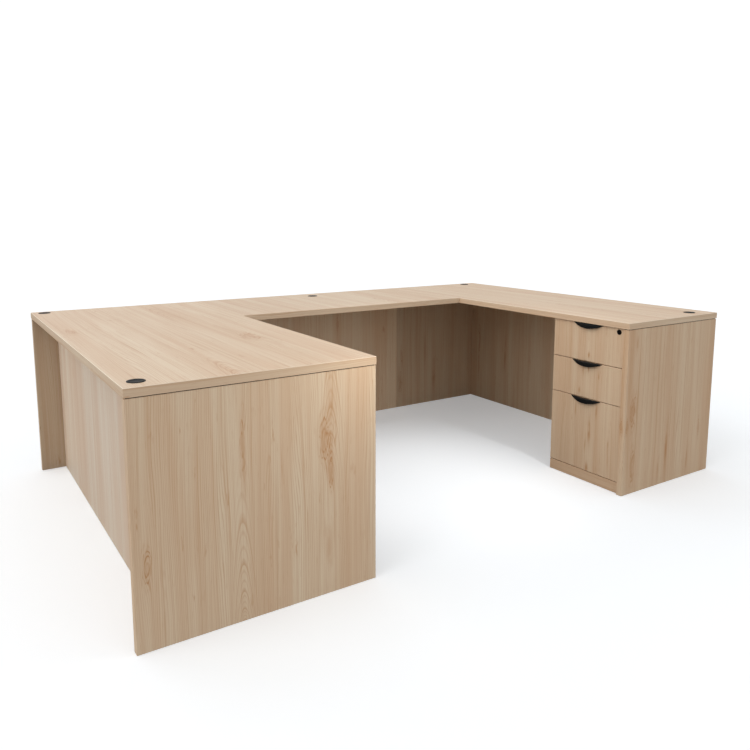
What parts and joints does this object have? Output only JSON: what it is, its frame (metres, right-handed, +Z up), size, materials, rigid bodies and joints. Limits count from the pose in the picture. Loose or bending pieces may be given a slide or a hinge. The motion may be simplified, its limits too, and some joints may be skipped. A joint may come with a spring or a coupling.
{
  "type": "teacher desk",
  "caption": "U-shaped laminate teacher desk with a bridge, a credenza, a locking box and file drawer pedestal, recessed modesty panel and capped cable outlets.",
  "frame": {"origin": "on the floor, under the middle of the whole plan", "axes": "+X from the main desk to the credenza, +Y from the open side of the U to the bridge, +Z up"},
  "size_m": [2.5908, 1.6764, 0.7326],
  "materials": {
    "worktop_laminate": "satin",
    "edge_strip": "satin",
    "panel_laminate": "satin",
    "hardboard": "matt",
    "drawer_board": "satin",
    "black_plastic": "satin",
    "black_lock_metal": "satin",
    "zinc_steel": "zinc plated",
    "beech_dowel": "raw"
  },
  "bodies": {
    "desk": {"angle_brackets": "zinc_steel", "bridge_back_panel": "panel_laminate", "bridge_top": "worktop_laminate", "bridge_top_edging": "edge_strip", "cabinet_slide_members": "zinc_steel", "cable_outlet_liners": "black_plastic", "cam_bolts": "zinc_steel", "cam_fittings": "zinc_steel", "credenza_back_panel": "panel_laminate", "credenza_far_end_panel": "panel_laminate", "credenza_near_end_panel": "panel_laminate", "credenza_top": "worktop_laminate", "credenza_top_edging": "edge_strip", "desk_far_end_panel": "panel_laminate", "desk_modesty_panel": "panel_laminate", "desk_near_end_panel": "panel_laminate", "desk_top": "worktop_laminate", "desk_top_edging": "edge_strip", "dowels": "beech_dowel", "joining_plates": "zinc_steel", "lock_keeper": "zinc_steel", "pedestal_back": "hardboard", "pedestal_bottom": "panel_laminate", "pedestal_far_side": "panel_laminate", "pedestal_near_side": "panel_laminate", "pedestal_plinth": "panel_laminate", "pedestal_top_rails": "panel_laminate", "wood_screws": "zinc_steel"},
    "lock": {"lock_plug": "black_lock_metal", "lock_cam": "zinc_steel"},
    "upper_drawer": {"upper_drawer_front": "panel_laminate", "upper_drawer_pull": "black_plastic", "upper_drawer_sides": "drawer_board", "upper_drawer_inner_ends": "drawer_board", "upper_drawer_bottom": "hardboard", "upper_slide_drawer_members": "zinc_steel", "lock_barrel": "black_lock_metal"},
    "upper_slide": {"upper_slide_middle_members": "zinc_steel"},
    "middle_drawer": {"middle_drawer_front": "panel_laminate", "middle_drawer_pull": "black_plastic", "middle_drawer_sides": "drawer_board", "middle_drawer_inner_ends": "drawer_board", "middle_drawer_bottom": "hardboard", "middle_slide_drawer_members": "zinc_steel"},
    "middle_slide": {"middle_slide_middle_members": "zinc_steel"},
    "file_drawer": {"file_drawer_front": "panel_laminate", "file_drawer_pull": "black_plastic", "file_drawer_sides": "drawer_board", "file_drawer_inner_ends": "drawer_board", "file_drawer_bottom": "hardboard", "file_slide_drawer_members": "zinc_steel", "file_hanger_rails": "zinc_steel"},
    "file_slide": {"file_slide_middle_members": "zinc_steel"},
    "desk_near_cap": {"desk_near_outlet_cap": "black_plastic"},
    "desk_far_cap": {"desk_far_outlet_cap": "black_plastic"},
    "bridge_cap": {"bridge_outlet_cap": "black_plastic"},
    "credenza_far_cap": {"credenza_far_outlet_cap": "black_plastic"},
    "credenza_near_cap": {"credenza_near_outlet_cap": "black_plastic"}
  },
  "joints": [
    {"name": "upper_drawer_slide", "type": "slide", "parent": "desk", "child": "upper_drawer", "axis": [-1, 0, 0], "range_m": [0, 0.4]},
    {"name": "upper_slide_extend", "type": "slide", "parent": "desk", "child": "upper_slide", "axis": [-1, 0, 0], "range_m": [0, 0.2]},
    {"name": "middle_drawer_slide", "type": "slide", "parent": "desk", "child": "middle_drawer", "axis": [-1, 0, 0], "range_m": [0, 0.4]},
    {"name": "middle_slide_extend", "type": "slide", "parent": "desk", "child": "middle_slide", "axis": [-1, 0, 0], "range_m": [0, 0.2]},
    {"name": "file_drawer_slide", "type": "slide", "parent": "desk", "child": "file_drawer", "axis": [-1, 0, 0], "range_m": [0, 0.45]},
    {"name": "file_slide_extend", "type": "slide", "parent": "desk", "child": "file_slide", "axis": [-1, 0, 0], "range_m": [0, 0.225]},
    {"name": "lock_turn", "type": "hinge", "parent": "upper_drawer", "child": "lock", "pos_m": [0.6985, -0.7803, 0.687], "axis": [1, 0, 0], "range_deg": [0, 90]},
    {"name": "desk_near_cap_lift", "type": "slide", "parent": "desk", "child": "desk_near_cap", "axis": [0, 0, 1], "range_m": [0, 0.03]},
    {"name": "desk_far_cap_lift", "type": "slide", "parent": "desk", "child": "desk_far_cap", "axis": [0, 0, 1], "range_m": [0, 0.03]},
    {"name": "bridge_cap_lift", "type": "slide", "parent": "desk", "child": "bridge_cap", "axis": [0, 0, 1], "range_m": [0, 0.03]},
    {"name": "credenza_far_cap_lift", "type": "slide", "parent": "desk", "child": "credenza_far_cap", "axis": [0, 0, 1], "range_m": [0, 0.03]},
    {"name": "credenza_near_cap_lift", "type": "slide", "parent": "desk", "child": "credenza_near_cap", "axis": [0, 0, 1], "range_m": [0, 0.03]}
  ],
  "couplings": [
    {"joint": "upper_slide_extend", "follows": "upper_drawer_slide", "ratio": 0.5},
    {"joint": "middle_slide_extend", "follows": "middle_drawer_slide", "ratio": 0.5},
    {"joint": "file_slide_extend", "follows": "file_drawer_slide", "ratio": 0.5}
  ]
}
